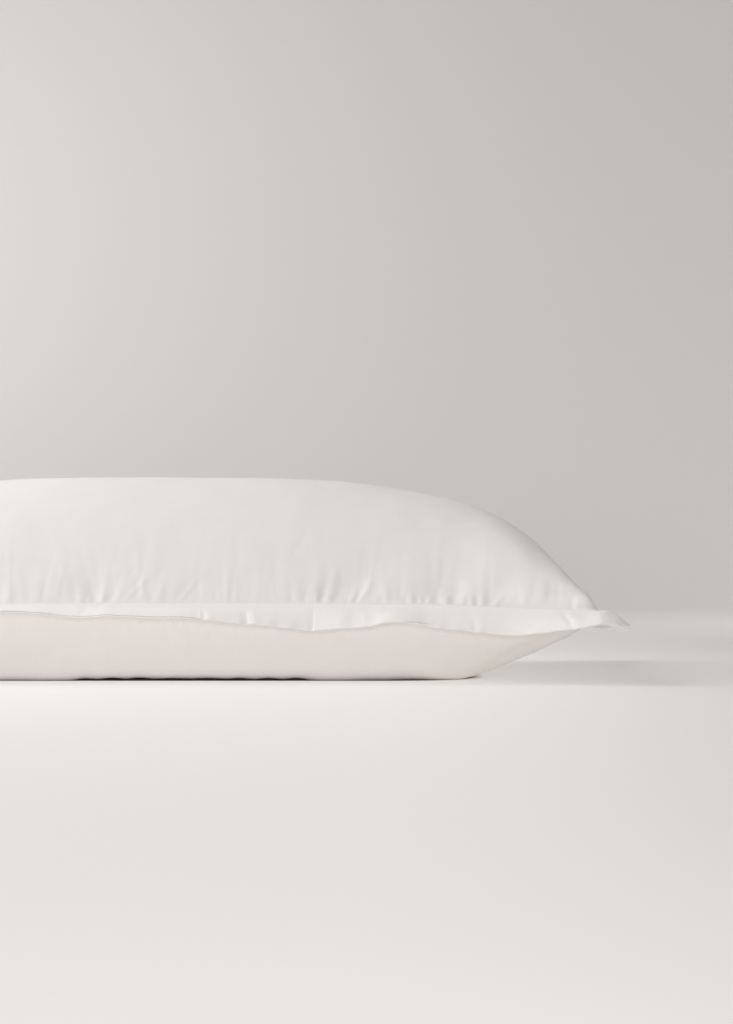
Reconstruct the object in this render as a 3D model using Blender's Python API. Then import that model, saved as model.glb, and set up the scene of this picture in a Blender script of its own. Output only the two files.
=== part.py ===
"""A white pillowcase, filled, with a flat stitched flange all round. It lies on its back panel.

Every point is worked out from the flat cloth it belongs to. u runs along the length and v across the width of
the cut panels, both from the middle, in metres. The pocket is the part inside the stitched line, and the
flange is the border outside it. The front side of the case is -Y, and up is +Z.
"""

import math
from collections import namedtuple

import bmesh
import bpy
from mathutils import Vector

# Cut sizes of the two panels, and the space left between pieces of cloth
POCKET_LENGTH = 0.750
POCKET_WIDTH = 0.500
FLANGE_WIDTH = 0.030
CLOTH_THICKNESS = 0.0010
LAYER_GAP = 0.0005
SEAM_CLEARANCE = 0.0008

# Stitched line of the filled case, seen from above
CORNER_X = 0.368
CORNER_Y = 0.244
END_DRAWN_IN = 0.0404
SIDE_DRAWN_IN = 0.036
END_CURVE = 1.9
SIDE_CURVE = 3.1

# Heights of the filled case, and how evenly the crown runs into the stitched line
CREST_HEIGHT = 0.1686
BACK_DEPTH = 0.0780
PANEL_SLIDE = 0.33
CROWN_BLEND = 5.5
LUMP_FADE = 10

# Lattice of the cloth: cells along each direction, and how much closer they lie near the stitches
LENGTH_CELLS = 44
WIDTH_CELLS = 26
FLANGE_CELLS = 2
LINE_CROWDING = 0.27
NORMAL_STEP = 0.0005

# Flange: how late it bends down, and how far its corners are pulled in
DROOP_CURVE = 1.5
CORNER_REACH = 0.80
CORNER_TAPER = 8.0

COLLECTION_NAME = "Pillowcase"
CASE_COLOUR = (0.80, 0.77, 0.75, 1.0)
FLANGE_COLOUR = (0.84, 0.81, 0.78, 1.0)
CLOTH_ROUGHNESS = 0.85

# How the cloth rises from the stitched line: fullness along and across, steepness along and across
Crown = namedtuple("Crown", "full_along steep_along full_across steep_across")
FRONT_CROWN = Crown(full_along=3.5, steep_along=0.377, full_across=2.6, steep_across=0.90)
BACK_CROWN = Crown(full_along=2.8, steep_along=0.48, full_across=4.2, steep_across=0.50)

# Height of the stitched line along the front and back sides. station: -1 left corner to 1 right corner
SeamHeight = namedtuple("SeamHeight", "station height")
SEAM_HEIGHTS = (
    SeamHeight(-1.00, 0.0550),
    SeamHeight(-0.60, 0.0580),
    SeamHeight(0.00, 0.0573),
    SeamHeight(0.60, 0.0582),
    SeamHeight(0.90, 0.0555),
    SeamHeight(0.96, 0.0532),
    SeamHeight(1.00, 0.0545),
)

# How far the flange hangs below level on each side. station: -1 to 1 along the side, in +X or +Y
Droop = namedtuple("Droop", "station degrees")
FRONT_DROOP = (
    Droop(-1.00, 26),
    Droop(-0.84, 38),
    Droop(-0.66, 15),
    Droop(-0.38, 7),
    Droop(-0.15, 13),
    Droop(0.08, 20),
    Droop(0.20, 29),
    Droop(0.34, 42),
    Droop(0.44, 38),
    Droop(0.54, 25),
    Droop(0.60, 29),
    Droop(0.68, 41),
    Droop(0.79, 49),
    Droop(0.86, 40),
    Droop(0.95, 27),
    Droop(1.00, 20),
)
BACK_DROOP = (
    Droop(-1.00, 24),
    Droop(-0.72, 36),
    Droop(-0.35, 14),
    Droop(0.05, 26),
    Droop(0.45, 12),
    Droop(0.78, 34),
    Droop(1.00, 24),
)
RIGHT_DROOP = (
    Droop(-1.00, 22),
    Droop(-0.60, 33),
    Droop(-0.05, 18),
    Droop(0.55, 30),
    Droop(1.00, 24),
)
LEFT_DROOP = (
    Droop(-1.00, 26),
    Droop(-0.50, 20),
    Droop(0.10, 34),
    Droop(0.60, 16),
    Droop(1.00, 24),
)

# Soft rises and hollows of each panel. along and across: -1 to 1 from the middle; rise: up; size: radius in metres
Lump = namedtuple("Lump", "along across rise size")
FRONT_LUMPS = (
    Lump(-0.52, 0.20, 0.0022, 0.075),
    Lump(-0.20, -0.38, 0.0018, 0.060),
    Lump(0.24, 0.30, -0.0020, 0.065),
    Lump(0.45, -0.30, -0.0022, 0.070),
    Lump(0.61, 0.06, -0.0030, 0.074),
    Lump(0.84, 0.63, -0.0098, 0.089),
    Lump(-0.85, -0.40, 0.0020, 0.050),
)
BACK_LUMPS = (
    Lump(0.96, -0.95, 0.0133, 0.035),
    Lump(0.80, -0.95, -0.0027, 0.088),
)

# Puckers in the front panel over the stitched front side. station: -1 to 1 along the side; height: of the
# deepest place above the stitches, along the cloth; lean: sideways for each metre up
Pucker = namedtuple("Pucker", "station depth half_width height lean")
PUCKERS = (
    Pucker(-0.78, 0.0012, 0.016, 0.015, 0.3),
    Pucker(-0.40, 0.0010, 0.018, 0.013, -0.2),
    Pucker(-0.17, 0.0016, 0.016, 0.016, 0.1),
    Pucker(0.06, 0.0010, 0.014, 0.012, -0.1),
    Pucker(0.37, 0.0018, 0.018, 0.018, 0.5),
    Pucker(0.62, 0.0017, 0.016, 0.016, 0.2),
    Pucker(0.74, 0.0012, 0.014, 0.013, 0.4),
)


def smooth_between(rows, station):
    """Value of a two-column table at a station, eased from row to row."""
    if station <= rows[0][0]:
        return rows[0][1]
    for (start, low), (end, high) in zip(rows, rows[1:]):
        if station <= end:
            share = (station - start) / (end - start)
            return low + (high - low) * share * share * (3.0 - 2.0 * share)
    return rows[-1][1]


def crown(share, full, steep):
    """Rise of the cloth from 1 in the middle to 0 at the stitches, share being 0 to 1 across the half."""
    return max(0.0, 1.0 - abs(share) ** full) ** steep


def swell(a, b, form):
    """Rise at a place of the pocket, from 0 at the stitches to 1 in the middle, without hollow corners."""
    along = crown(a * (1.0 + PANEL_SLIDE * (1.0 - a * a)), form.full_along, form.steep_along)
    across = crown(b * (1.0 + PANEL_SLIDE * (1.0 - b * b)), form.full_across, form.steep_across)
    if min(along, across) <= 0.0:
        return 0.0
    return (along ** -CROWN_BLEND + across ** -CROWN_BLEND - 1.0) ** (-1.0 / CROWN_BLEND)


def plan_place(a, b):
    """Where a place of the pocket lies seen from above, once the sides are drawn in."""
    end_x = CORNER_X - END_DRAWN_IN * (1.0 - abs(b) ** END_CURVE)
    side_y = CORNER_Y - SIDE_DRAWN_IN * (1.0 - abs(a) ** SIDE_CURVE)
    x = end_x * a * (1.0 + PANEL_SLIDE * (1.0 - a * a) * (1.0 - b * b))
    y = side_y * b * (1.0 + PANEL_SLIDE * (1.0 - b * b) * (1.0 - a * a))
    return x, y


def lump_rise(lumps, a, b, x, y):
    """Sum of a panel's soft rises and hollows at one of its places."""
    rise = 0.0
    for lump in lumps:
        centre = plan_place(lump.along, lump.across)
        distance = math.hypot(x - centre[0], y - centre[1])
        rise += lump.rise * math.exp(-((distance / lump.size) ** 2))
    return rise * (1.0 - max(abs(a), abs(b)) ** LUMP_FADE)


def pucker_depth(u, above):
    """How far the puckers press the front panel in, at a distance above the stitched front side."""
    depth = 0.0
    for pucker in PUCKERS:
        middle = pucker.station * POCKET_LENGTH / 2.0 + pucker.lean * above
        across = (u - middle) / pucker.half_width
        up = above / pucker.height
        depth += pucker.depth * math.exp(-across * across) * up * math.exp(1.0 - up)
    return depth


def pocket_place(u, v, front):
    """Point of the filled pocket for a place of the flat cloth. front: 1 for the front panel, -1 for the back."""
    a = 2.0 * u / POCKET_LENGTH
    b = 2.0 * v / POCKET_WIDTH
    x, y = plan_place(a, b)
    seam = smooth_between(SEAM_HEIGHTS, a)
    band = front * (CLOTH_THICKNESS + LAYER_GAP / 2.0)
    if front > 0:
        above = v + POCKET_WIDTH / 2.0
        press = pucker_depth(u, above)
        z = seam + band + (CREST_HEIGHT - seam - band) * swell(a, b, FRONT_CROWN)
        z += lump_rise(FRONT_LUMPS, a, b, x, y) - press
        y += press
    else:
        z = seam + band - BACK_DEPTH * swell(a, b, BACK_CROWN)
        z = max(0.0, z + lump_rise(BACK_LUMPS, a, b, x, y))
    return Vector((x, y, z))


def side_droop(a, b, out_u, out_v):
    """Droop of the flange in radians, blended at a corner from the two sides that meet there."""
    end = smooth_between(RIGHT_DROOP if out_u > 0 else LEFT_DROOP, b)
    side = smooth_between(FRONT_DROOP if out_v < 0 else BACK_DROOP, a)
    total = abs(out_u) + abs(out_v)
    return math.radians((end * abs(out_u) + side * abs(out_v)) / total)


def flange_middle(u, v):
    """Point halfway between the two layers of the flange for a place of the flat cloth."""
    pocket_u = max(-POCKET_LENGTH / 2.0, min(POCKET_LENGTH / 2.0, u))
    pocket_v = max(-POCKET_WIDTH / 2.0, min(POCKET_WIDTH / 2.0, v))
    a = 2.0 * pocket_u / POCKET_LENGTH
    b = 2.0 * pocket_v / POCKET_WIDTH
    out_u = (u - pocket_u) / FLANGE_WIDTH
    out_v = (v - pocket_v) / FLANGE_WIDTH
    x, y = plan_place(a, b)
    z = smooth_between(SEAM_HEIGHTS, a)
    droop = side_droop(a, b, out_u, out_v)
    out = max(abs(out_u), abs(out_v))
    tuck = 1.0 - (1.0 - CORNER_REACH) * min(abs(a), abs(b)) ** CORNER_TAPER
    reach = FLANGE_WIDTH * (1.0 - (1.0 - math.cos(droop)) * out) * tuck
    drop = FLANGE_WIDTH * math.sin(droop) * out ** DROOP_CURVE
    return Vector((x + reach * out_u, y + reach * out_v, z - drop))


def flange_place(u, v, offset):
    """Point of one flange layer, offset above or below the middle of the two, square to the cloth."""
    step_u = NORMAL_STEP * (1.0 if u >= 0.0 else -1.0)
    step_v = NORMAL_STEP * (1.0 if v >= 0.0 else -1.0)
    here = flange_middle(u, v)
    along_u = (flange_middle(u + step_u, v) - here) / step_u
    along_v = (flange_middle(u, v + step_v) - here) / step_v
    return here + along_u.cross(along_v).normalized() * offset


def cloth_lines(half, cells):
    """Places of the lattice lines of the pocket along one direction, closer together near the stitches."""
    shares = [2.0 * i / cells - 1.0 for i in range(cells + 1)]
    return [half * share * (1.0 + LINE_CROWDING * (1.0 - share * share)) for share in shares]


def flange_lines(half, cells):
    """Places of the lattice lines of the flange and of the pocket between its two borders."""
    first = half + SEAM_CLEARANCE
    width = FLANGE_WIDTH - SEAM_CLEARANCE
    border = [first + width * i / FLANGE_CELLS for i in range(FLANGE_CELLS + 1)]
    return [-place for place in reversed(border)] + cloth_lines(half, cells)[1:-1] + border


def flat_cloth(us, vs):
    """A flat sheet over the lattice lines us and vs, as a bmesh."""
    mesh = bmesh.new()
    columns, rows = len(us) - 1, len(vs) - 1
    bmesh.ops.create_grid(mesh, x_segments=columns, y_segments=rows, size=1.0)
    for vertex in mesh.verts:
        i = round((vertex.co.x + 1.0) / 2.0 * columns)
        j = round((vertex.co.y + 1.0) / 2.0 * rows)
        vertex.co = (us[i], vs[j], 0.0)
    return mesh


def cut_out_pocket(mesh):
    """Leave only the border of a flat sheet, outside the stitched line."""
    inside = []
    for face in mesh.faces:
        centre = face.calc_center_median()
        if abs(centre.x) < POCKET_LENGTH / 2.0 and abs(centre.y) < POCKET_WIDTH / 2.0:
            inside.append(face)
    bmesh.ops.delete(mesh, geom=inside, context="FACES")


def thicken(mesh, low, high):
    """Turn a flat sheet into a closed slab from low to high, its two faces split into the same triangles."""
    bmesh.ops.triangulate(mesh, faces=mesh.faces[:], quad_method="FIXED")
    for vertex in mesh.verts:
        vertex.co.z = low
    lifted = bmesh.ops.extrude_face_region(mesh, geom=mesh.faces[:], use_keep_orig=True)["geom"]
    for item in lifted:
        if isinstance(item, bmesh.types.BMVert):
            item.co.z = high


def cloth_material(name, colour):
    """Matt white cotton."""
    material = bpy.data.materials.new(name)
    material.use_nodes = True
    surface = material.node_tree.nodes["Principled BSDF"]
    surface.inputs["Base Color"].default_value = colour
    surface.inputs["Roughness"].default_value = CLOTH_ROUGHNESS
    surface.inputs["Metallic"].default_value = 0.0
    return material


def add_object(name, mesh, material, collection):
    """Make an object of a finished bmesh, with every face pointing out."""
    bmesh.ops.recalc_face_normals(mesh, faces=mesh.faces[:])
    data = bpy.data.meshes.new(name)
    mesh.to_mesh(data)
    mesh.free()
    data.materials.append(material)
    data.shade_smooth()
    made = bpy.data.objects.new(name, data)
    collection.objects.link(made)
    return made


def build_filled_case(collection):
    """The pocket of the case, blown up over its pillow, with a blunt band at the stitched line."""
    us = cloth_lines(POCKET_LENGTH / 2.0, LENGTH_CELLS)
    vs = cloth_lines(POCKET_WIDTH / 2.0, WIDTH_CELLS)
    mesh = flat_cloth(us, vs)
    thicken(mesh, -1.0, 1.0)
    for vertex in mesh.verts:
        vertex.co = pocket_place(*vertex.co)
    return add_object("filled_case", mesh, cloth_material("Case cotton", CASE_COLOUR), collection)


def build_flange_layer(name, low, high, collection):
    """One layer of the flange: a ring of cloth from low to high, measured from the middle of the two layers."""
    us = flange_lines(POCKET_LENGTH / 2.0, LENGTH_CELLS)
    vs = flange_lines(POCKET_WIDTH / 2.0, WIDTH_CELLS)
    mesh = flat_cloth(us, vs)
    cut_out_pocket(mesh)
    thicken(mesh, low, high)
    for vertex in mesh.verts:
        vertex.co = flange_place(*vertex.co)
    return add_object(name, mesh, cloth_material(name + " cotton", FLANGE_COLOUR), collection)


def centre_on_footprint(objects):
    """Shift the cloth so that the middle of its footprint is the origin."""
    corners = [vertex.co for made in objects for vertex in made.data.vertices]
    middle_x = (min(co.x for co in corners) + max(co.x for co in corners)) / 2.0
    middle_y = (min(co.y for co in corners) + max(co.y for co in corners)) / 2.0
    for made in objects:
        for vertex in made.data.vertices:
            vertex.co.x -= middle_x
            vertex.co.y -= middle_y


def build():
    for old in list(bpy.data.objects):
        bpy.data.objects.remove(old, do_unlink=True)
    collection = bpy.data.collections.new(COLLECTION_NAME)
    bpy.context.scene.collection.children.link(collection)
    inner = LAYER_GAP / 2.0
    outer = inner + CLOTH_THICKNESS
    made = [
        build_filled_case(collection),
        build_flange_layer("flange_front_layer", inner, outer, collection),
        build_flange_layer("flange_back_layer", -outer, -inner, collection),
    ]
    centre_on_footprint(made)


build()
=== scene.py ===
"""A filled cotton pillowcase with a flange, lying on its back on a pale studio floor.

The empty pocket starts as a slack bag of threads and settles, filled, round the solid of the
case, so that its cloth keeps its own lengths. The flange is laid outwards from the seam. Fine
cloth is then cut along that form, and carries the puckers, folds and creases of the real case,
placed on the flat panels, and the stitches of its seam. Metres, +Z up, +X to the right
along the long side, and the camera looks along +Y at the long front side.
"""
import math
import random
from collections import namedtuple

import bmesh
import bpy
import numpy as np
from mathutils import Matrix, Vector, noise
from mathutils.bvhtree import BVHTree


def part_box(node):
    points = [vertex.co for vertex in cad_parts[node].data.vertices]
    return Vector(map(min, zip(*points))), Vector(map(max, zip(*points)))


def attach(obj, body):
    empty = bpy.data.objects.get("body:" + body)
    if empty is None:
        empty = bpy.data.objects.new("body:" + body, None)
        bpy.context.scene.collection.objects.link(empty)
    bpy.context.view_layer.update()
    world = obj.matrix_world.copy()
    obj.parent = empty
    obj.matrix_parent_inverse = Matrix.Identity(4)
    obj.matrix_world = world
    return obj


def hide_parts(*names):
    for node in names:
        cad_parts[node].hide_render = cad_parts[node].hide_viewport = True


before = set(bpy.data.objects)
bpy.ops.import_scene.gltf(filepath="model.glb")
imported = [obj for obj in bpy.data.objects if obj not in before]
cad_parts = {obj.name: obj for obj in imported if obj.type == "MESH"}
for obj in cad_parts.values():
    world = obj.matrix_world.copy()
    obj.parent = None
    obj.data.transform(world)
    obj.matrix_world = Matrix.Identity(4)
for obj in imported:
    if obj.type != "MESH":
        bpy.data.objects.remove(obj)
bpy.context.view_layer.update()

# -------------------- sizes of the case as cut
MM = 0.001
POCKET_LENGTH = 0.750
POCKET_WIDTH = 0.500
FLANGE_WIDTH = 0.030
HALF_LENGTH = POCKET_LENGTH / 2
HALF_WIDTH = POCKET_WIDTH / 2
CLOTH_THICKNESS = 0.0005
LAYER_GAP = 0.00015
LYING_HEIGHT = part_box("filled_case")[1].z

# -------------------- how the filled cloth settles
FRONT, BACK = 0, 1
TIME_STEP = 1e-3
SPEED_KEPT = 0.96
TOP_SPEED = 1.0
LEAST_SPEED = 1e-9
LEAST_LENGTH = 1e-12
STRETCH_GIVE = 2e-6
SHEAR_GIVE = 2e-7
BEND_GIVE = 3e-7
FILL_FIRMNESS = 15.0
FILL_DENSITY = 28.0
GRAVITY = 9.81
FILL_WEIGHT = FILL_DENSITY * GRAVITY
CLOTH_WEIGHT = 1.3
GUIDE_PLAY = 0.0001
GUIDE_PULL = 0.3
SEAM_PLAY = 0.0006
SEAM_PULL = 0.10
FLOOR_GRIP = 0.6
GUIDE_REFRESH = 50

# cells along and across the pocket, and steps
Stage = namedtuple("Stage", "along across steps")
STAGES = [Stage(30, 20, 500), Stage(60, 40, 400)]
FLANGE_CELLS = 5


# -------------------- the pocket's grid of threads
class Grid:
    """One stage's grid of crossings, with its sewn edge."""

    def __init__(self, stage):
        along = np.linspace(-HALF_LENGTH, HALF_LENGTH, stage.along + 1)
        across = np.linspace(-HALF_WIDTH, HALF_WIDTH, stage.across + 1)
        self.x, self.y = np.meshgrid(along, across, indexing="ij")
        self.is_seam = np.ones(self.x.shape, bool)
        self.is_seam[1:-1, 1:-1] = False
        self.cell_area = np.gradient(along)[:, None] * np.gradient(across)[None]


Threads = namedtuple("Threads", "start end rest give")


def thread_runs(grid, step, give):
    """pairs of crossings one step apart, in runs that share no crossing, with their lengths"""
    rows, columns = grid.x.shape
    di, dj = step
    span = max(di, dj)
    count = rows if di > 0 else columns
    runs = []
    for first in range(2 * span):
        number = len(range(first, count - span, 2 * span))
        if number <= 0:
            continue
        last = first + span + 2 * span * (number - 1) + 1
        if di > 0:
            low, high = max(0, -dj), columns - max(0, dj)
            start = (slice(first, rows - di, 2 * di), slice(low, high))
            end = (slice(first + di, last, 2 * di), slice(low + dj, high + dj))
        else:
            start = (slice(None), slice(first, columns - dj, 2 * dj))
            end = (slice(None), slice(first + dj, last, 2 * dj))
        rest = np.hypot(grid.x[end] - grid.x[start], grid.y[end] - grid.y[start])
        both = (slice(None),)
        runs.append(Threads(both + start, both + end, rest, give / TIME_STEP**2))
    return runs


# -------------------- the solids that guide it
WELD = 1e-5
SHARP_TURN = math.radians(40)
ROUNDING = 2


def rounded_solid(node):
    """the faces of a solid, its broad facets rounded off and its sharp edges kept"""
    shape = bmesh.new()
    shape.from_mesh(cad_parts[node].data)
    bmesh.ops.remove_doubles(shape, verts=shape.verts, dist=WELD)
    crease = shape.edges.layers.float.new("crease_edge")
    for edge in shape.edges:
        edge[crease] = float(edge.calc_face_angle() > SHARP_TURN)
    mesh = bpy.data.meshes.new("rounded")
    shape.to_mesh(mesh)
    shape.free()
    solid = bpy.data.objects.new("rounded", mesh)
    bpy.context.scene.collection.objects.link(solid)
    rounding = solid.modifiers.new("rounding", "SUBSURF")
    rounding.levels = ROUNDING
    rounded = solid.evaluated_get(bpy.context.evaluated_depsgraph_get()).to_mesh()
    rounded.calc_loop_triangles()
    corners = [vertex.co.copy() for vertex in rounded.vertices]
    faces = [(tuple(face.vertices), face.normal.z) for face in rounded.loop_triangles]
    bpy.data.objects.remove(solid)
    bpy.data.meshes.remove(mesh)
    return corners, faces


def leaning(solid, low, high):
    """a search tree of the faces of a solid that lean upwards by no less than low and up to high"""
    corners, faces = solid
    return BVHTree.FromPolygons(corners, [face for face, lean in faces if low <= lean <= high])


LEVEL_FACE = 0.02
SLOPED_FACE = 0.3
case_solid = rounded_solid("filled_case")
front_face = leaning(case_solid, LEVEL_FACE, 1)
back_face = leaning(case_solid, -1, -LEVEL_FACE)
seam_band = leaning(case_solid, -LEVEL_FACE, LEVEL_FACE)
flange_face = leaning(rounded_solid("flange_front_layer"), -1, -SLOPED_FACE)


def nearest_on(tree, points):
    """the nearest places on a solid and the directions it faces there"""
    flat = points.reshape(-1, 3)
    places = np.empty_like(flat)
    facing = np.empty_like(flat)
    for number, point in enumerate(flat.tolist()):
        places[number], facing[number] = tree.find_nearest(point)[:2]
    return places.reshape(points.shape), facing.reshape(points.shape)


def surface_facing(sheet):
    """unit directions a sheet's upper side faces"""
    facing = np.cross(np.gradient(sheet, axis=0), np.gradient(sheet, axis=1))
    return facing / (np.linalg.norm(facing, axis=-1, keepdims=True) + LEAST_LENGTH)


class Cloth:
    """The filled pocket as it settles: positions and speeds of both layers' crossings."""

    def __init__(self, stage, places):
        self.stage = stage
        self.grid = Grid(stage)
        self.places = places.copy()
        self.speed = np.zeros_like(places)
        self.threads = []
        steps = [
            ((2, 0), BEND_GIVE), ((0, 2), BEND_GIVE),
            ((1, 1), SHEAR_GIVE), ((1, -1), SHEAR_GIVE),
            ((1, 0), STRETCH_GIVE), ((0, 1), STRETCH_GIVE),
        ]
        for step, give in steps:
            self.threads += thread_runs(self.grid, step, give)

    def find_guides(self):
        """where the cloth is wanted, and the way out of the case there"""
        self.seam_guide = nearest_on(seam_band, self.places[FRONT][self.grid.is_seam])[0]
        self.guide = self.places.copy()
        self.facing = np.zeros_like(self.places)
        for layer, tree in ((FRONT, front_face), (BACK, back_face)):
            self.guide[layer], self.facing[layer] = nearest_on(tree, self.places[layer])

    def fill_push(self):
        """what the filling's pressure and the cloth's own weight do to each crossing"""
        places = self.places
        rising = places[:, 1:, 1:] - places[:, :-1, :-1]
        falling = places[:, :-1, 1:] - places[:, 1:, :-1]
        outward = 0.5 * np.cross(rising, falling)
        outward[BACK] *= -1
        height = (places[:, 1:, 1:, 2] + places[:, :-1, :-1, 2]
                  + places[:, :-1, 1:, 2] + places[:, 1:, :-1, 2]) / 4
        pressure = FILL_FIRMNESS + FILL_WEIGHT * (LYING_HEIGHT - height)
        force = outward * (pressure / 4)[..., None]
        push = np.zeros_like(places)
        push[:, 1:, 1:] += force
        push[:, :-1, :-1] += force
        push[:, :-1, 1:] += force
        push[:, 1:, :-1] += force
        push /= self.grid.cell_area[None, :, :, None]
        push[..., 2] -= CLOTH_WEIGHT
        return push

    def follow_guides(self, places):
        off = ((places - self.guide) * self.facing).sum(-1)
        beyond = (off - np.clip(off, -GUIDE_PLAY, GUIDE_PLAY)) * GUIDE_PULL
        places -= beyond[..., None] * self.facing

    def hold_threads(self, places):
        for run in self.threads:
            between = places[run.end] - places[run.start]
            length = np.sqrt(np.einsum("...k,...k->...", between, between)) + LEAST_LENGTH
            between *= ((length - run.rest) / ((2 + run.give) * length))[..., None]
            places[run.start] += between
            places[run.end] -= between

    def hold_seam(self, places):
        is_seam = self.grid.is_seam
        seam = (places[FRONT][is_seam] + places[BACK][is_seam]) / 2
        off = self.seam_guide - seam
        distance = np.sqrt((off**2).sum(-1, keepdims=True)) + LEAST_LENGTH
        pull = np.clip(distance - SEAM_PLAY, 0, None) * SEAM_PULL
        places[:, is_seam] = seam + off / distance * pull

    def rest_on_floor(self, places, before):
        low = places[..., 2:] < 0
        gripped = places[..., :2] * (1 - FLOOR_GRIP) + before[..., :2] * FLOOR_GRIP
        places[..., :2] = np.where(low, gripped, places[..., :2])
        places[..., 2] = np.maximum(places[..., 2], 0)

    def settle(self):
        for count in range(self.stage.steps):
            if count % GUIDE_REFRESH == 0:
                self.find_guides()
            self.speed += self.fill_push() * TIME_STEP
            rate = np.sqrt((self.speed**2).sum(-1, keepdims=True))
            self.speed *= np.minimum(1, TOP_SPEED / np.maximum(rate, LEAST_SPEED))
            before = self.places
            places = before + self.speed * TIME_STEP
            self.follow_guides(places)
            self.hold_threads(places)
            self.hold_seam(places)
            self.rest_on_floor(places, before)
            self.speed = (places - before) / TIME_STEP * SPEED_KEPT
            self.places = places
        return self.places


# -------------------- the settled form
def smooth_step(value):
    value = np.clip(value, 0, 1)
    return value * value * (3 - 2 * value)


def resample(points, axis, marks, kinks=()):
    """smooth values of a grid of points at fractional marks along one axis, save over its kinks"""
    points = np.moveaxis(points, axis, 0)
    last = len(points) - 1
    ends = [0, last, *kinks]
    cell = np.clip(np.floor(marks).astype(int), 0, last - 1)
    part = (marks - cell).reshape((-1,) + (1,) * (points.ndim - 1))
    before = points[np.maximum(cell - 1, 0)]
    start, end = points[cell], points[cell + 1]
    after = points[np.minimum(cell + 2, last)]
    before = np.where(np.isin(cell, ends).reshape(part.shape), 2 * start - end, before)
    after = np.where(np.isin(cell + 1, ends).reshape(part.shape), 2 * end - start, after)
    rise = (end - before) / 2
    fall = (after - start) / 2
    curve = (start + part * rise + part**2 * (3 * (end - start) - 2 * rise - fall)
             + part**3 * (2 * (start - end) + rise + fall))
    return np.moveaxis(curve, 0, axis)


def doubled(points):
    """the same cloth on a grid of half the cell"""
    for axis in (1, 2):
        cells = points.shape[axis] - 1
        points = resample(points, axis, np.linspace(0, cells, 2 * cells + 1))
    return points


def slack_bag(stage):
    """the empty pocket before it is filled, a little inside the solid"""
    grid = Grid(stage)
    shrink, middle, fall, rise = 0.98, 0.057, 0.06, 0.03
    inside = np.minimum(HALF_LENGTH - abs(grid.x), HALF_WIDTH - abs(grid.y))
    half_height = rise * np.sqrt(np.clip(inside / fall, 0, 1))
    layers = [
        np.stack([grid.x * shrink, grid.y * shrink, middle + side * half_height], -1)
        for side in (1, -1)
    ]
    return np.stack(layers)


def settled_pocket():
    """both panels of the pocket, filled and lying on the floor"""
    places = slack_bag(STAGES[0])
    for stage in STAGES:
        places = doubled(Cloth(stage, places).settle())
    return places


# how far out the flange's solid is searched, and at how many places
FLANGE_REACH = 1.2 * FLANGE_WIDTH
FLANGE_MARKS = 25


def laid_flange(pocket):
    """adds the flange round the settled pocket, marching out from the seam under its solid"""
    reach = np.linspace(0, FLANGE_REACH, FLANGE_MARKS)[1:]
    below, up = -0.01, Vector((0, 0, 1))
    rim = FLANGE_CELLS
    rows, columns = pocket.shape[1:3]
    places = np.zeros((2, rows + 2 * rim, columns + 2 * rim, 3))
    places[:, rim:rim + rows, rim:rim + columns] = pocket
    for i in range(rows + 2 * rim):
        out_i = min(i - rim, 0) + max(i - rim - rows + 1, 0)
        for j in range(columns + 2 * rim):
            out_j = min(j - rim, 0) + max(j - rim - columns + 1, 0)
            ring = max(abs(out_i), abs(out_j))
            if ring == 0:
                continue
            root = pocket[FRONT, min(max(i - rim, 0), rows - 1), min(max(j - rim, 0), columns - 1)]
            track = [root]
            for distance in reach:
                x = root[0] + out_i / ring * distance
                y = root[1] + out_j / ring * distance
                hit = flange_face.ray_cast((x, y, below), up)[0]
                if hit is not None:
                    track.append(np.array(hit))
            track = np.array(track)
            run = np.concatenate([[0], np.cumsum(np.linalg.norm(np.diff(track, axis=0), axis=1))])
            mark = run[-1] * ring / rim
            places[:, i, j] = [np.interp(mark, run, track[:, axis]) for axis in range(3)]
    return places


# both layers' places and the way their outer faces turn, on lines at flat places of the cloth
Form = namedtuple("Form", "points facing along across")


def flat_lines(half, cells):
    """flat places of the form's lines, from rim to rim"""
    pocket = np.linspace(-half, half, cells + 1)
    outside = half + np.linspace(0, FLANGE_WIDTH, FLANGE_CELLS + 1)[1:]
    return np.concatenate([-outside[::-1], pocket, outside])


# the case stands this much higher on its belly, all of it above this height
BELLY_RISE = 0.0065
BELLY_TOP = 0.020


def settled_form():
    """the settled pocket with its flange, from which the fine cloth is cut"""
    pocket = settled_pocket()
    points = laid_flange(pocket)
    points[..., 2] += BELLY_RISE * smooth_step(points[..., 2] / BELLY_TOP)
    facing = np.stack([surface_facing(points[FRONT]), -surface_facing(points[BACK])])
    rows, columns = pocket.shape[1:3]
    return Form(points, facing, flat_lines(HALF_LENGTH, rows - 1), flat_lines(HALF_WIDTH, columns - 1))


def cut_cloth(form, along, across):
    """places and facings of both layers where lines at other flat places meet"""
    cut = []
    for field in (form.points, form.facing):
        for axis, lines, wanted in ((1, form.along, along), (2, form.across, across)):
            marks = np.interp(wanted, lines, np.arange(len(lines)))
            kinks = (FLANGE_CELLS, len(lines) - 1 - FLANGE_CELLS)
            field = resample(field, axis, marks, kinks)
        cut.append(field)
    points, facing = cut
    return points, facing / np.linalg.norm(facing, axis=-1, keepdims=True)


# -------------------- lines of the fine cloth
Crowd = namedtuple("Crowd", "start end spacing")
LINE_GROWTH = 0.25


def graded_lines(half, spacing, crowds):
    """flat places from edge to edge, drawing closer together towards each crowded stretch"""
    places = [-half]
    while places[-1] < half:
        here = places[-1]
        steps = [spacing]
        for crowd in crowds:
            gap = max(crowd.start - here, here - crowd.end, 0)
            steps.append(crowd.spacing + LINE_GROWTH * gap)
        places.append(here + min(steps))
    places = np.array(places)
    return 2 * half * (places + half) / (places[-1] + half) - half


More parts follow.
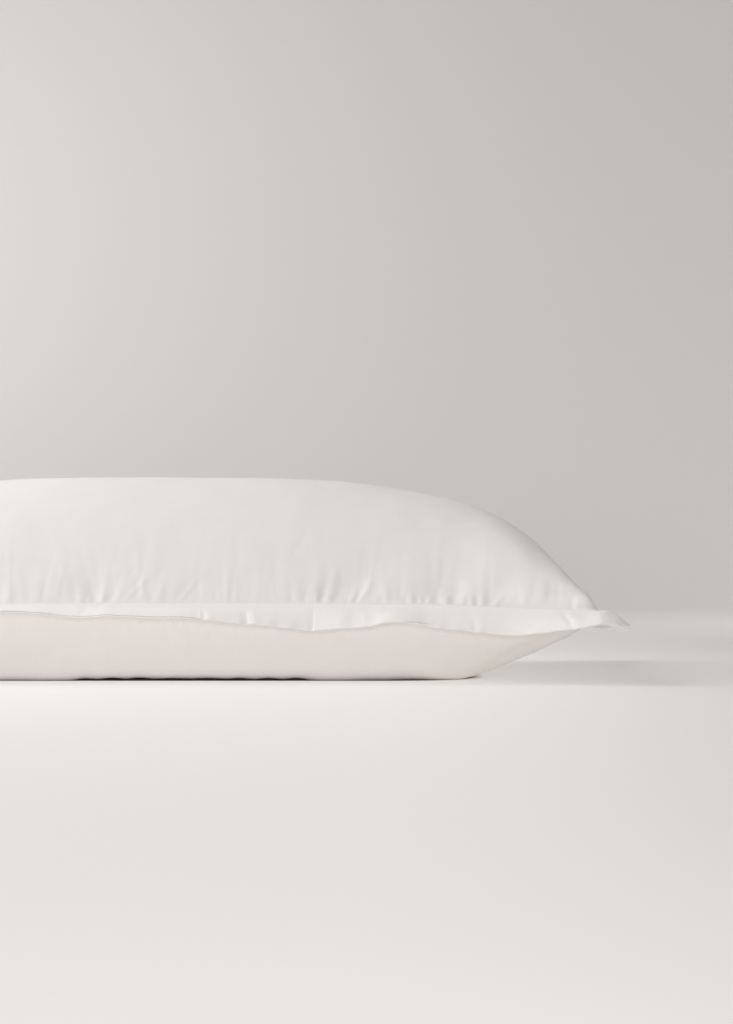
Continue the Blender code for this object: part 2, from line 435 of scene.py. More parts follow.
# -------------------- puckers, folds and creases
# Tables are in millimetres. A pucker starts at a seam: its place along that side, how far it
# rises or, below nought, sinks, its half width, how far in it reaches, and its lean as it goes.
Pucker = namedtuple("Pucker", "place rise width reach lean")
FRONT_PUCKERS = [
    Pucker(-137, 0.66, 5.0, 30, 0.0), Pucker(-119, -0.23, 5.0, 60, 0.0),
    Pucker(-106, -0.23, 5.0, 60, 0.0), Pucker(-75, 0.49, 3.0, 24, 0.0),
    Pucker(-63, -0.49, 4.0, 24, 0.0), Pucker(-56, 0.80, 3.2, 24, 0.1),
    Pucker(-48, -0.57, 3.6, 26, 0.15), Pucker(-38, 0.30, 3.0, 40, 0.8),
    Pucker(-14, -0.30, 3.0, 20, 0.0), Pucker(-7, 0.27, 3.0, 20, 0.0),
    Pucker(2, -0.27, 3.0, 20, 0.0), Pucker(10, 0.34, 2.6, 34, 0.6),
    Pucker(32, 0.28, 3.0, 30, 0.0), Pucker(42, -0.27, 3.4, 30, 0.0),
    Pucker(52, 0.38, 3.0, 60, 0.0), Pucker(59, 0.23, 3.0, 40, 0.1),
    Pucker(76, 0.19, 4.0, 24, 0.2), Pucker(90, -0.19, 4.5, 30, 0.1),
    Pucker(107, -0.34, 3.0, 22, 0.0), Pucker(119, -0.38, 3.4, 24, 0.0),
    Pucker(128, 0.47, 2.6, 24, 0.1), Pucker(133, -0.72, 2.6, 26, 0.15),
    Pucker(140, 0.49, 3.0, 28, 0.1), Pucker(146, -0.30, 3.0, 24, 0.2),
    Pucker(159, 0.38, 3.0, 30, 0.3), Pucker(162, -0.49, 3.0, 30, 0.3),
    Pucker(166, 0.49, 3.0, 34, 0.35), Pucker(176, -0.23, 3.4, 34, 0.3),
    Pucker(190, 0.19, 4.0, 30, 0.1), Pucker(206, -0.27, 3.4, 22, 0.0),
    Pucker(212, 0.34, 3.0, 22, 0.0), Pucker(217, -0.38, 3.0, 22, 0.0),
    Pucker(220, 0.34, 2.6, 22, 0.0), Pucker(226, 0.53, 2.6, 22, 0.0),
    Pucker(233, -0.53, 3.0, 24, 0.0), Pucker(242, 0.85, 3.2, 22, 0.0),
    Pucker(249, -0.60, 4.6, 30, 0.1), Pucker(258, 0.28, 3.0, 20, 0.0),
    Pucker(264, 0.46, 2.8, 20, 0.0), Pucker(269, -0.38, 2.8, 20, 0.0),
    Pucker(273, 0.46, 2.8, 20, 0.0), Pucker(279, -0.28, 3.0, 18, 0.1),
    Pucker(284, 0.49, 2.6, 18, 0.4), Pucker(301, -0.19, 4.0, 24, 0.2),
    Pucker(320, 0.19, 5.0, 24, 0.2), Pucker(351, -0.38, 2.5, 14, 0.0),
    Pucker(356, 0.38, 3.0, 14, 0.0),
]
# more are scattered: plain ones where the picture doesn't reach, and fine ones everywhere
Scatter = namedtuple("Scatter", "pitch least_rise most_rise width reach lean")
PLAIN_PUCKERS = Scatter(11.0, 0.2, 1.0, (2.8, 5.5), (18, 40), 0.45)
FINE_PUCKERS = Scatter(6.0, 0.08, 0.26, (2.0, 4.0), (25, 100), 0.2)
PICTURE_EDGE = -150.0


def scattered_puckers(rand, scatter, start, end):
    """puckers as uneven as those in the picture, from start to end along a side"""
    puckers = []
    place = start + rand.uniform(0, scatter.pitch)
    while place < end:
        rise = scatter.least_rise * (scatter.most_rise / scatter.least_rise) ** rand.random()
        rise *= rand.choice((-1, 1))
        width = rand.uniform(*scatter.width)
        reach = rand.uniform(*scatter.reach)
        puckers.append(Pucker(place, rise, width, reach, rand.uniform(-scatter.lean, scatter.lean)))
        place += rand.expovariate(1 / scatter.pitch) + width
    return puckers


def pucker_rise(puckers, along, inward):
    """how far the puckers of one side lift the cloth: nothing at the seam, most a little inside it"""
    along, inward = along / MM, inward / MM
    total = np.zeros(along.shape)
    for pucker in puckers:
        middle = pucker.place + pucker.lean * inward
        across = (along - middle) / (pucker.width * (1 + inward / pucker.reach))
        ripple = (1 - 2 * across**2) * np.exp(-(across**2))
        way_up = inward / (pucker.reach / 4)
        total += pucker.rise * ripple * way_up * np.exp(1 - way_up)
    return total * MM


# A crease or fold runs along a route of (x, y, rise), and falls off to the left and right of
# the way it runs within those widths.
Crease = namedtuple("Crease", "route left right")


def crease_rise(creases, x, y):
    x, y = x / MM, y / MM
    total = np.zeros(x.shape)
    for crease in creases:
        nearest = np.full(x.shape, np.inf)
        rise = np.zeros(x.shape)
        for (x0, y0, rise0), (x1, y1, rise1) in zip(crease.route, crease.route[1:]):
            run_x, run_y = x1 - x0, y1 - y0
            part = ((x - x0) * run_x + (y - y0) * run_y) / (run_x**2 + run_y**2)
            part = np.clip(part, 0, 1)
            off_x, off_y = x - x0 - part * run_x, y - y0 - part * run_y
            distance = np.hypot(off_x, off_y)
            width = np.where(run_x * off_y > run_y * off_x, crease.left, crease.right)
            here = (rise0 + part * (rise1 - rise0)) * np.exp(-((distance / width) ** 2))
            rise = np.where(distance < nearest, here, rise)
            nearest = np.minimum(distance, nearest)
        total += rise
    return total * MM


UPPER_CREASES = [
    # the faint diagonal in the middle, and the short one by the seam
    Crease([(102, -206, 0), (112, -184, -0.4), (122, -162, 0)], 3.0, 5.0),
    Crease([(-36, -226, 0), (-31, -218, -0.3), (-27, -208, 0)], 2.5, 2.5),
    # the ridge that runs up from the near right corner, and the hollow end of the case beside it
    Crease(
        [(372, -246, 0.5), (352, -232, 3.0), (330, -214, 4.5), (305, -190, 4.5), (285, -160, 3.0),
         (262, -130, 0)], 45, 18,
    ),
    Crease(
        [(370, -236, 0), (365, -225, -1.5), (355, -205, -3.0), (336, -175, -3.0), (316, -145, -2.0),
         (296, -110, 0)], 22, 25,
    ),
    Crease([(377, -250, 0.5), (373, -241, 2.6), (370, -231, 2.6), (361, -212, 0)], 12, 5),
    Crease([(-366, -240, 0), (-330, -205, 1.8), (-280, -165, 1.2), (-240, -130, 0)], 22, 16),
    Crease([(366, 240, 0), (332, 206, 1.6), (290, 172, 1.2), (250, 140, 0)], 20, 16),
    Crease([(-366, 240, 0), (-335, 210, 1.6), (-295, 176, 1.1), (-250, 140, 0)], 16, 20),
]
LOWER_CREASES = [
    Crease([(371, -240, 0), (352, -205, 1.5), (330, -150, 1.2), (305, -90, 0)], 8, 14),
    Crease(
        [(352, -238, 0), (325, -219, -1.8), (302, -203, -2.4), (281, -184, -1.6), (264, -170, 0)], 8, 9,
    ),
    Crease([(362, -232, 0), (338, -207, 1.5), (318, -188, 1.5), (296, -168, 0)], 10, 12),
    Crease([(300, -246, 0), (270, -222, 0.9), (236, -196, 0.8), (210, -180, 0)], 6, 6),
    Crease([(-371, -240, 0), (-350, -205, 0.9), (-320, -150, 0.9), (-290, -90, 0)], 12, 8),
    Crease([(371, 240, 0), (345, 205, 0.9), (310, 160, 0.9), (280, 110, 0)], 12, 8),
    Crease([(-371, 240, 0), (-340, 210, 0.9), (-300, 175, 0.9), (-260, 140, 0)], 8, 12),
]

CREASE_FADE = 0.016


def edge_fade(x, y):
    """how far creases come up: not at the seam, and fully a little inside it"""
    inset = np.minimum(HALF_LENGTH - abs(x), HALF_WIDTH - abs(y))
    return smooth_step(inset / CREASE_FADE)


# the flange's folds: each route runs from the seam to the rim
FRONT_FOLDS = [
    Crease([(-108, -262, 0), (-106, -280, 0.5)], 9, 9),
    Crease([(-78, -252, 0), (-78, -280, -2.0)], 26, 30),
    Crease([(-70, -252, 0), (-70, -262, -0.6), (-71, -280, -0.2)], 3, 3),
    Crease([(-54, -252, 0), (-52, -280, 0.9)], 8, 6),
    Crease([(14, -252, 0), (12, -280, 1.0)], 18, 18),
    Crease([(27, -254, 0), (27, -280, -0.6)], 3.0, 3.0),
    Crease([(32, -256, 0), (33, -280, -0.7)], 1.8, 1.8),
    Crease([(38, -258, 0), (38, -280, 0.5)], 5.0, 2.5),
    Crease([(68, -257, 0), (71, -280, -1.2)], 1.6, 4.0),
    Crease([(74, -256, 0.1), (77, -280, 0.6)], 5.0, 2.0),
    Crease([(95, -258, 0), (97, -280, -0.4)], 5, 4),
    Crease([(108, -256, 0), (108, -280, 0.3)], 4, 5),
    # the fold with a sharp foot, from which its right side rises
    Crease([(128, -252, 0), (126.5, -280, -0.8)], 0.8, 3.5),
    Crease([(128, -281, -0.7), (150, -281, 1.4), (170, -281, 0.2)], 24.0, 24.0),
    Crease([(159, -250, 0), (161, -266, -0.4), (160, -280, -0.2)], 3.0, 3.0),
    Crease([(170, -252, 0), (171, -272, 0.5), (172, -280, 0.2)], 3.5, 3.0),
    Crease([(178, -254, 0), (180, -270, -0.3), (180, -280, 0)], 3.5, 3.5),
    Crease([(194, -252, 0.2), (196, -280, 1.4)], 12.0, 14.0),
    Crease([(226, -250, -0.3), (228, -280, -2.2)], 24.0, 14.0),
    Crease([(266, -264, -0.1), (267, -280, -0.8)], 2.4, 3.0),
    Crease([(272, -260, 0), (273, -280, 0.3)], 6.0, 2.6),
    Crease([(343, -256, -0.3), (349, -270, -0.9), (351, -278, -0.3)], 2.4, 2.4),
    Crease([(350, -253, 0.2), (358, -280, 0.6)], 12.0, 3.0),
    # the corner: a ridge runs on from the pocket, its rim curls up beside it, and its tip sinks
    Crease([(373, -249, 0.3), (374, -280, 1.2)], 7.0, 20.0),
    Crease([(377, -246, 0), (385, -249, 1.8), (392, -252, 1.2), (402, -252, 0)], 5.0, 5.0),
    Crease([(376, -281, 0), (388, -281, -1.6), (406, -277, -3.4)], 20.0, 14.0),
]
FOLD_PITCH = 34.0
FOLD_RISE = (0.3, 1.5)
FOLD_WIDTH = (3.0, 11.0)
FOLD_LEAN = 7.0
CORNER_ROOM = 22.0


def scattered_folds(rand, start, end, on_side):
    """folds as uneven as those in the picture, across one side's flange from start to end"""
    folds = []
    place = start + rand.uniform(0, FOLD_PITCH)
    while place < end:
        rise = rand.choice((-1, 1)) * rand.uniform(*FOLD_RISE)
        left, right = rand.uniform(*FOLD_WIDTH), rand.uniform(*FOLD_WIDTH)
        lean = rand.uniform(-FOLD_LEAN, FOLD_LEAN)
        seam, rim = on_side(place, 0), on_side(place + lean, FLANGE_WIDTH / MM)
        folds.append(Crease([(*seam, 0.0), (*rim, rise)], left, right))
        place += rand.expovariate(1 / FOLD_PITCH) + left
    return folds


def front_side(place, out):
    return place, -HALF_WIDTH / MM - out


def back_side(place, out):
    return place, HALF_WIDTH / MM + out


def right_side(place, out):
    return HALF_LENGTH / MM + out, place


def left_side(place, out):
    return -HALF_LENGTH / MM - out, place


# where the rims of the flange's layers stand apart: a stretch of a side, how far the front one
# lifts and the back one drops, and how far the front one's rim is drawn back
Opening = namedtuple("Opening", "on_side start end lift drop slip")
OPENINGS = [
    Opening(front_side, -160, 38, 0.0, 0.0, 1.5),
    Opening(front_side, 202, 242, 0.0, 0.1, 2.6),
    Opening(front_side, -360, -230, 0.1, 0.3, 0.8),
    Opening(back_side, -300, -120, 0.2, 0.5, 1.0),
    Opening(back_side, 60, 290, 0.1, 0.3, 0.7),
    Opening(right_side, -60, 150, 0.2, 0.4, 0.8),
    Opening(left_side, -180, 40, 0.1, 0.5, 1.2),
]
OPENING_ENDS = 14.0


def openings_at(x, y):
    """how far the front layer lifts, the back one drops and the front one slips at flat places"""
    x, y = x / MM, y / MM
    sides = {
        front_side: (x, -y - HALF_WIDTH / MM),
        back_side: (x, y - HALF_WIDTH / MM),
        right_side: (y, x - HALF_LENGTH / MM),
        left_side: (y, -x - HALF_LENGTH / MM),
    }
    total = np.zeros((3, *x.shape))
    for opening in OPENINGS:
        place, out = sides[opening.on_side]
        share = smooth_step((place - opening.start) / OPENING_ENDS)
        share *= smooth_step((opening.end - place) / OPENING_ENDS)
        share *= smooth_step(out * MM / FLANGE_WIDTH)
        total += np.array([opening.lift, opening.drop, opening.slip])[:, None] * share
    return total * MM


# -------------------- meshes from the cloth
CLOTH_MAP = "cloth"


def new_piece(name, corners, faces, material, flat=None):
    """a smooth mesh object; flat gives each corner's place on the flat cloth, for its weave"""
    mesh = bpy.data.meshes.new(name)
    mesh.from_pydata(corners.reshape(-1, 3).tolist(), [], faces.tolist())
    mesh.shade_smooth()
    mesh.materials.append(material)
    if flat is not None:
        number = np.empty(len(mesh.loops), int)
        mesh.loops.foreach_get("vertex_index", number)
        mesh.uv_layers.new(name=CLOTH_MAP).uv.foreach_set("vector", flat[number].ravel())
    piece = bpy.data.objects.new(name, mesh)
    bpy.context.scene.collection.objects.link(piece)
    return piece


def quads(numbers):
    """faces between the neighbouring crossings of a grid of vertex numbers"""
    return np.stack(
        [numbers[:-1, :-1], numbers[1:, :-1], numbers[1:, 1:], numbers[:-1, 1:]], -1
    ).reshape(-1, 4)


def slab(name, upper, lower, is_used, flat, material):
    """a closed piece between two grids of places, on the cells that are used"""
    numbers = np.arange(upper.shape[0] * upper.shape[1]).reshape(upper.shape[:2])
    count = numbers.size
    top = quads(numbers)[is_used.ravel()]
    starts, ends = top.ravel(), np.roll(top, -1, axis=1).ravel()
    forward = set(zip(starts.tolist(), ends.tolist()))
    edge = np.array(sorted((a, b) for a, b in forward if (b, a) not in forward))
    walls = np.stack([edge[:, 1], edge[:, 0], edge[:, 0] + count, edge[:, 1] + count], -1)
    faces = np.concatenate([top, top[:, ::-1] + count, walls])
    used, packed = np.unique(faces, return_inverse=True)
    corners = np.concatenate([upper.reshape(-1, 3), lower.reshape(-1, 3)])[used]
    flat = np.concatenate([flat.reshape(-1, 2)] * 2)[used]
    piece = new_piece(name, corners, packed.reshape(faces.shape), material, flat)
    piece.data.set_sharp_from_angle(angle=SHARP_TURN)
    return piece


POCKET_SPACING = 0.0046
POCKET_ALONG_CROWDS = [Crowd(-0.150, HALF_LENGTH, 0.0019)]
POCKET_ACROSS_CROWDS = [Crowd(-HALF_WIDTH, -0.214, 0.0015), Crowd(0.235, HALF_WIDTH, 0.0030)]
SEED = 7


def panel_puckers(x, y, rand, front_puckers):
    """the puckers of all four sides of a panel, plain ones at the seams and fine ones that run on"""
    half_length, half_width = HALF_LENGTH / MM, HALF_WIDTH / MM
    scatter_end = PICTURE_EDGE if front_puckers else half_length
    sides = [
        (half_length, scatter_end, front_puckers, x, y + HALF_WIDTH),
        (half_length, half_length, [], x, HALF_WIDTH - y),
        (half_width, half_width, [], y, HALF_LENGTH - x),
        (half_width, half_width, [], y, x + HALF_LENGTH),
    ]
    total = np.zeros(x.shape)
    for half, end, placed, along, inward in sides:
        plain = placed + scattered_puckers(rand, PLAIN_PUCKERS, -half, end)
        fine = scattered_puckers(rand, FINE_PUCKERS, -half, half)
        total += pucker_rise(plain + fine, along, inward)
    return total


# soft lumps of the filling: their size and rise, the share and fineness of smaller ones, and how
# far apart the noise of the two panels lies
LUMP_SIZE = 0.055
LUMP_RISE = 0.0006
FINE_LUMP = 0.4
FINE_LUMP_SCALE = 2.7
PANELS_APART = 10


def lumps(x, y, layer):
    """soft unevenness all over a panel"""
    rise = np.empty(x.shape)
    for at in np.ndindex(x.shape):
        place = Vector((x[at] / LUMP_SIZE, y[at] / LUMP_SIZE, SEED + PANELS_APART * layer))
        rise[at] = noise.noise(place) + FINE_LUMP * noise.noise(place * FINE_LUMP_SCALE)
    return rise * LUMP_RISE


def pocket_piece(form, material):
    """the filled pocket: both panels, closed along the seam"""
    along = graded_lines(HALF_LENGTH, POCKET_SPACING, POCKET_ALONG_CROWDS)
    across = graded_lines(HALF_WIDTH, POCKET_SPACING, POCKET_ACROSS_CROWDS)
    points, facing = cut_cloth(form, along, across)
    x, y = np.meshgrid(along, across, indexing="ij")
    rand = random.Random(SEED)
    fade = edge_fade(x, y)
    rise = []
    for layer, front, creases in ((FRONT, FRONT_PUCKERS, UPPER_CREASES), (BACK, [], LOWER_CREASES)):
        uneven = crease_rise(creases, x, y) + lumps(x, y, layer)
        rise.append(panel_puckers(x, y, rand, front) + fade * uneven)
    rise = np.stack(rise)
    outer = points + facing * (CLOTH_THICKNESS + rise)[..., None]
    outer[..., 2] = np.maximum(outer[..., 2], 0)
    all_cells = np.ones((len(along) - 1) * (len(across) - 1), bool)
    return slab("filled_pocket", outer[FRONT], outer[BACK], all_cells, np.stack([x, y], -1), material)


FLANGE_SPACING = 0.0030
FLANGE_ALONG_CROWDS = [
    Crowd(-0.150, HALF_LENGTH, 0.0018), Crowd(0.030, 0.040, 0.0009), Crowd(0.068, 0.082, 0.0009),
    Crowd(0.124, 0.135, 0.0005), Crowd(0.260, 0.274, 0.0010), Crowd(0.341, 0.357, 0.0010),
]
# rows out from the seam, closest at the seam and the rim
FLANGE_ROWS = MM * np.array([
    0, 0.6, 1.2, 2.0, 3.2, 5.0, 7.2, 9.6, 12, 14.4, 16.8, 19.2, 21.4, 23.4, 25.2, 26.8, 28.0,
    28.8, 29.3, 29.6, 29.8, 29.93, 30,
])
SEAM_TUCK = 0.0040
SEAM_LIP_RISE = 0.00035
SEAM_LIP_WIDTH = 0.0016
RIM_SWELL = 0.0002
RIM_WIDTH = 0.0024
RIM_ROUND = 0.0005
RIM_LEAST = 0.6


def seam_lip(out):
    """the slight roll of the flange just outside its seam"""
    lip = out / SEAM_LIP_WIDTH
    return SEAM_LIP_RISE * lip * np.exp(1 - lip)


def flange_pieces(form, material):
    """the two layers of the flange, each a closed strip of cloth all the way round the pocket"""
    lines = []
    for half, spacing_crowds in ((HALF_LENGTH, FLANGE_ALONG_CROWDS), (HALF_WIDTH, [])):
        rows = half + FLANGE_ROWS[1:]
        seam = graded_lines(half, FLANGE_SPACING, spacing_crowds)
        lines.append(np.concatenate([-rows[::-1], seam, rows]))
    points, facing = cut_cloth(form, *lines)
    x, y = np.meshgrid(*lines, indexing="ij")
    out = np.maximum(np.maximum(abs(x) - HALF_LENGTH, abs(y) - HALF_WIDTH), 0)
    rand = random.Random(SEED)
    half_length = HALF_LENGTH / MM - CORNER_ROOM
    half_width = HALF_WIDTH / MM - CORNER_ROOM
    folds = FRONT_FOLDS + scattered_folds(rand, -half_length, PICTURE_EDGE, front_side)
    folds += scattered_folds(rand, -half_length, half_length, back_side)
    folds += scattered_folds(rand, -half_width, half_width, right_side)
    folds += scattered_folds(rand, -half_width, half_width, left_side)
    ring = out > 0
    rise = np.zeros(x.shape)
    apart = np.zeros((3, *x.shape))
    rise[ring] = crease_rise(folds, x[ring], y[ring]) * smooth_step(out[ring] / SEAM_TUCK)
    apart[:, ring] = openings_at(x[ring], y[ring])
    part_way = smooth_step(out / SEAM_TUCK)
    from_rim = FLANGE_WIDTH - out
    thickness = CLOTH_THICKNESS + RIM_SWELL * smooth_step(1 - from_rim / RIM_WIDTH)
    roundness = np.sqrt(np.clip(1 - (1 - from_rim / RIM_ROUND).clip(0) ** 2, RIM_LEAST**2, 1))
    is_used = ring[:-1, :-1] | ring[1:, :-1] | ring[1:, 1:] | ring[:-1, 1:]
    away_x = np.sign(x) * (abs(x) > HALF_LENGTH)
    away_y = np.sign(y) * (abs(y) > HALF_WIDTH)
    outward = (np.gradient(points[FRONT], lines[0], axis=0) * away_x[..., None]
               + np.gradient(points[FRONT], lines[1], axis=1) * away_y[..., None])
    points[FRONT] -= outward * apart[2][..., None]
    layers = []
    for layer, name in ((FRONT, "flange_front"), (BACK, "flange_back")):
        side = 1 if layer == FRONT else -1
        middle = side * rise + apart[layer] + LAYER_GAP / 2 * part_way + thickness / 2 + seam_lip(out)
        outer, inner = (
            points[layer] + facing[layer] * (middle + face * thickness / 2 * roundness)[..., None]
            for face in (1, -1)
        )
        upper, lower = (outer, inner) if layer == FRONT else (inner, outer)
        layers.append(slab(name, upper, lower, is_used, np.stack([x, y], -1), material))
    return layers


# -------------------- stitches of the seam
STITCH_PITCH = 0.0030
STITCH_LENGTH = 0.0024
STITCH_RADIUS = 0.00019
STITCH_OUT = 0.0012
STITCH_ARCH = 0.8
STITCH_RINGS = np.array([-1.0, -0.7, 0.0, 0.7, 1.0])
STITCH_SIDES = 6
STITCH_END = 0.35


def stitch_row(form, half, place_along):
    """rings of places round each stitch of two opposite sides, on both faces of the flange"""
    count = round(2 * half / STITCH_PITCH)
    middles = (np.arange(count) + 0.5) / count * 2 * half - half
    stations = (middles[:, None] + STITCH_RINGS * STITCH_LENGTH / 2).ravel()
    half_across = HALF_WIDTH if place_along else HALF_LENGTH
    sides = np.array([-half_across - STITCH_OUT, half_across + STITCH_OUT])
    points, facing = cut_cloth(form, *((stations, sides) if place_along else (sides, stations)))
    if not place_along:
        points, facing = points.swapaxes(1, 2), facing.swapaxes(1, 2)
    grid = (2, count, len(STITCH_RINGS), 2, 3)
    points = points.reshape(grid).swapaxes(2, 3)
    facing = facing.reshape(grid).swapaxes(2, 3)
    run = points[:, :, :, -1:] - points[:, :, :, :1]
    run /= np.linalg.norm(run, axis=-1, keepdims=True)
    beside = np.cross(facing, run)
    thickness = STITCH_RADIUS * (STITCH_END + (1 - STITCH_END) * np.sqrt(1 - STITCH_RINGS**2))
    height = CLOTH_THICKNESS + seam_lip(STITCH_OUT) - STITCH_ARCH * STITCH_RADIUS * STITCH_RINGS**2
    turn = np.arange(STITCH_SIDES) / STITCH_SIDES * 2 * math.pi
    middle = (points + facing * height[:, None])[..., None, :]
    around = (beside[..., None, :] * np.cos(turn)[:, None] + facing[..., None, :] * np.sin(turn)[:, None])
    return (middle + around * thickness[:, None, None]).reshape(-1, len(STITCH_RINGS), STITCH_SIDES, 3)


def stitch_piece(form, material):
    """all the lockstitches round the pocket, in one piece"""
    corners = np.concatenate([
        stitch_row(form, HALF_LENGTH, True),
        stitch_row(form, HALF_WIDTH, False),
    ])
    rings, sides = len(STITCH_RINGS), STITCH_SIDES
    numbers = np.arange(rings * sides).reshape(rings, sides)
    side_faces = quads(np.concatenate([numbers, numbers[:, :1]], axis=1))
    first, last = numbers[0], numbers[-1]
    caps = [first[[0, 1, 2, 3]], first[[0, 3, 4, 5]], last[[3, 2, 1, 0]], last[[5, 4, 3, 0]]]
    faces = np.concatenate([side_faces, caps])[:, ::-1]
    starts = np.arange(len(corners)) * rings * sides
    return new_piece("seam_stitches", corners, (starts[:, None, None] + faces).reshape(-1, 4), material)


# -------------------- materials
def new_group(name, inputs, outputs):
    """an empty shader group with its sockets, and its input and output nodes"""
    group = bpy.data.node_groups.new(name, "ShaderNodeTree")
    for label, kind in inputs:
        group.interface.new_socket(label, in_out="INPUT", socket_type=kind)
    for label in outputs:
        group.interface.new_socket(label, in_out="OUTPUT", socket_type="NodeSocketFloat")
    return group, group.nodes.new("NodeGroupInput"), group.nodes.new("NodeGroupOutput")


def sums(tree):
    """a function that adds a maths node to a tree and gives its result"""
    def compute(operation, *values):
        node = tree.nodes.new("ShaderNodeMath")
        node.operation = operation
        for socket, value in zip(node.inputs, values):
            if isinstance(value, (int, float)):
                socket.default_value = value
            else:
                tree.links.new(value, socket)
        return node.outputs[0]
    return compute


SLUB_LENGTH = 0.030
SLUB_THREADS = 2.2
SLUB_CONTRAST = 3.0
ALONG_SLICE, ACROSS_SLICE = 1.0, 5.0
HAZE_SIZE = 0.018
HAZE_DETAIL = 3.0
# how much slubs and haze darken the cloth's tone, and how much lighter the thread tops are painted
SLUB_SHADE, HAZE_SHADE, CROSSING_PAINTED_LIGHT = 0.5, 0.7, 0.15


def slub_noise(group, place, pitch, is_along):
    """thicker stretches of single threads: noise drawn out along the threads"""
    compute = sums(group)
    apart = group.nodes.new("ShaderNodeSeparateXYZ")
    group.links.new(place, apart.inputs[0])
    along, across = apart.outputs[0], apart.outputs[1]
    if not is_along:
        along, across = across, along
    joined = group.nodes.new("ShaderNodeCombineXYZ")
    group.links.new(compute("DIVIDE", along, SLUB_LENGTH), joined.inputs[0])
    group.links.new(compute("DIVIDE", across, compute("MULTIPLY", pitch, SLUB_THREADS)), joined.inputs[1])
    joined.inputs[2].default_value = ALONG_SLICE if is_along else ACROSS_SLICE
    noise_node = group.nodes.new("ShaderNodeTexNoise")
    noise_node.inputs["Scale"].default_value = 1.0
    noise_node.inputs["Detail"].default_value = 1.0
    group.links.new(joined.outputs[0], noise_node.inputs["Vector"])
    return compute("POWER", noise_node.outputs[0], SLUB_CONTRAST)


def cotton_weave():
    """plain weave: Height in metres over the flat Place on the cloth, and Shade from 0 to 1, the threads'
    uneven tone with their tops painted lighter than the gaps between them
    """
    group, entry, exit_node = new_group(
        "cotton_weave",
        [("Place", "NodeSocketVector"), ("Thread Pitch", "NodeSocketFloat"),
         ("Weave Depth", "NodeSocketFloat"), ("Slub Depth", "NodeSocketFloat"),
         ("Rumple Depth", "NodeSocketFloat")],
        ("Height", "Shade"),
    )
    compute = sums(group)
    place, pitch = entry.outputs["Place"], entry.outputs["Thread Pitch"]
    apart = group.nodes.new("ShaderNodeSeparateXYZ")
    group.links.new(place, apart.inputs[0])
    waves = []
    for axis in (0, 1):
        turn = compute("DIVIDE", compute("MULTIPLY", apart.outputs[axis], math.pi), pitch)
        waves.append(compute("SINE", turn))
    crossing = compute("ABSOLUTE", compute("MULTIPLY", *waves))
    height = compute("MULTIPLY", crossing, entry.outputs["Weave Depth"])
    slubs = compute("ADD", slub_noise(group, place, pitch, True), slub_noise(group, place, pitch, False))
    height = compute("ADD", height, compute("MULTIPLY", slubs, entry.outputs["Slub Depth"]))
    haze = group.nodes.new("ShaderNodeTexNoise")
    haze.inputs["Scale"].default_value = 1 / HAZE_SIZE
    haze.inputs["Detail"].default_value = HAZE_DETAIL
    group.links.new(place, haze.inputs["Vector"])
    height = compute("ADD", height, compute("MULTIPLY", haze.outputs[0], entry.outputs["Rumple Depth"]))
    group.links.new(height, exit_node.inputs["Height"])
    slub_shade = compute("MULTIPLY", slubs, SLUB_SHADE)
    shade = compute("ADD", slub_shade, compute("MULTIPLY", haze.outputs[0], HAZE_SHADE))
    # painted light: the thread tops are tinted lighter than the low gaps between them
    shade = compute("SUBTRACT", shade, compute("MULTIPLY", crossing, CROSSING_PAINTED_LIGHT))
    group.links.new(shade, exit_node.inputs["Shade"])
    return group


SHEEN_ROUGHNESS = 0.5
ROUGHNESS_PLAY = 0.05
Cotton = namedtuple("Cotton", "light dark roughness sheen pitch weave_depth slub_depth rumple_depth")
COTTONS = {
    "case_cotton": Cotton(
        (0.875, 0.85, 0.832), (0.835, 0.808, 0.788), 0.9, 0.10, 0.00035, 2.0e-5, 3e-5, 1.6e-4,
    ),
    # the flange is the case's own cotton painted lighter: a painted highlight for the light that falls on it
    "flange_cotton": Cotton(
        (0.93, 0.905, 0.885), (0.89, 0.862, 0.84), 0.9, 0.10, 0.00035, 2.0e-5, 3e-5, 1.2e-4,
    ),
    "seam_thread": Cotton((0.93, 0.91, 0.89), (0.86, 0.84, 0.82), 0.6, 0.25, 0.00022, 3.0e-5, 0.0, 0.0),
}


